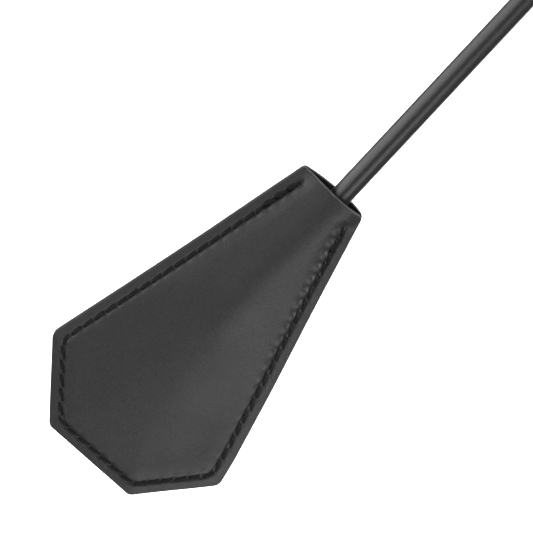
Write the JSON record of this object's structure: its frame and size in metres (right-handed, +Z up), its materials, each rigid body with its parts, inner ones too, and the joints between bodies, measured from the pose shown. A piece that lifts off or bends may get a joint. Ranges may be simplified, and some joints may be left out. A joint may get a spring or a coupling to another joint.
{
  "type": "riding crop",
  "caption": "Short riding crop: a sewn leather keeper that flexes on a slim covered shaft, a leather grip with a butt cap, and a wrist loop with a slider.",
  "frame": {"origin": "on the shaft's axis at the middle of the grip, where a hand holds the crop", "axes": "+Z up along the shaft from the keeper to the butt cap and wrist loop; the keeper's front face looks along -Y; +X to the right of that face"},
  "size_m": [0.0608, 0.0248, 0.7051],
  "materials": {
    "keeper_leather": "black leather, fine grain, satin",
    "thread": "black waxed thread",
    "shaft_cover": "smooth black, satin gloss",
    "fibreglass": "bare fibreglass rod",
    "rubber": "matte black rubber",
    "grip_leather": "black leather, wound in a spiral",
    "strap_leather": "black strap leather, satin",
    "grip_wood": "plain turned wood",
    "trim_plastic": "black moulded plastic, satin",
    "steel": "plain steel pin"
  },
  "bodies": {
    "crop": {"shaft_core": "fibreglass", "shaft_cover": "shaft_cover", "rod_end_cap": "rubber", "keeper_front_upper": "keeper_leather", "keeper_back_upper": "keeper_leather", "thread_front_left": "thread", "thread_front_right": "thread", "thread_back_left": "thread", "thread_back_right": "thread", "lower_ferrule": "trim_plastic", "grip_core": "grip_wood", "grip_cover": "grip_leather", "upper_collar": "trim_plastic", "butt_cap": "trim_plastic", "strap_pin": "steel", "strap_tail_left": "strap_leather", "strap_tail_right": "strap_leather"},
    "keeper_tip": {"keeper_front_lower": "keeper_leather", "keeper_back_lower": "keeper_leather", "thread_front_lower": "thread", "thread_back_lower": "thread"},
    "wrist_loop": {"wrist_strap": "strap_leather"},
    "slider": {"strap_slider": "strap_leather", "slider_stitch": "thread"}
  },
  "joints": [
    {"name": "keeper_bend", "type": "hinge", "parent": "crop", "child": "keeper_tip", "pos_m": [-0.00162, 0, -0.4075], "axis": [0.9999, 0, 0.0115], "range_deg": [-45, 45], "stiffness_Nm_per_rad": 0.1},
    {"name": "loop_swing", "type": "hinge", "parent": "crop", "child": "wrist_loop", "pos_m": [0, 0, 0.1055], "axis": [0, 1, 0], "range_deg": [-70, 70], "stiffness_Nm_per_rad": 0.03},
    {"name": "slider_travel", "type": "slide", "parent": "wrist_loop", "child": "slider", "axis": [0, 0, 1], "range_m": [0, 0.03]}
  ]
}
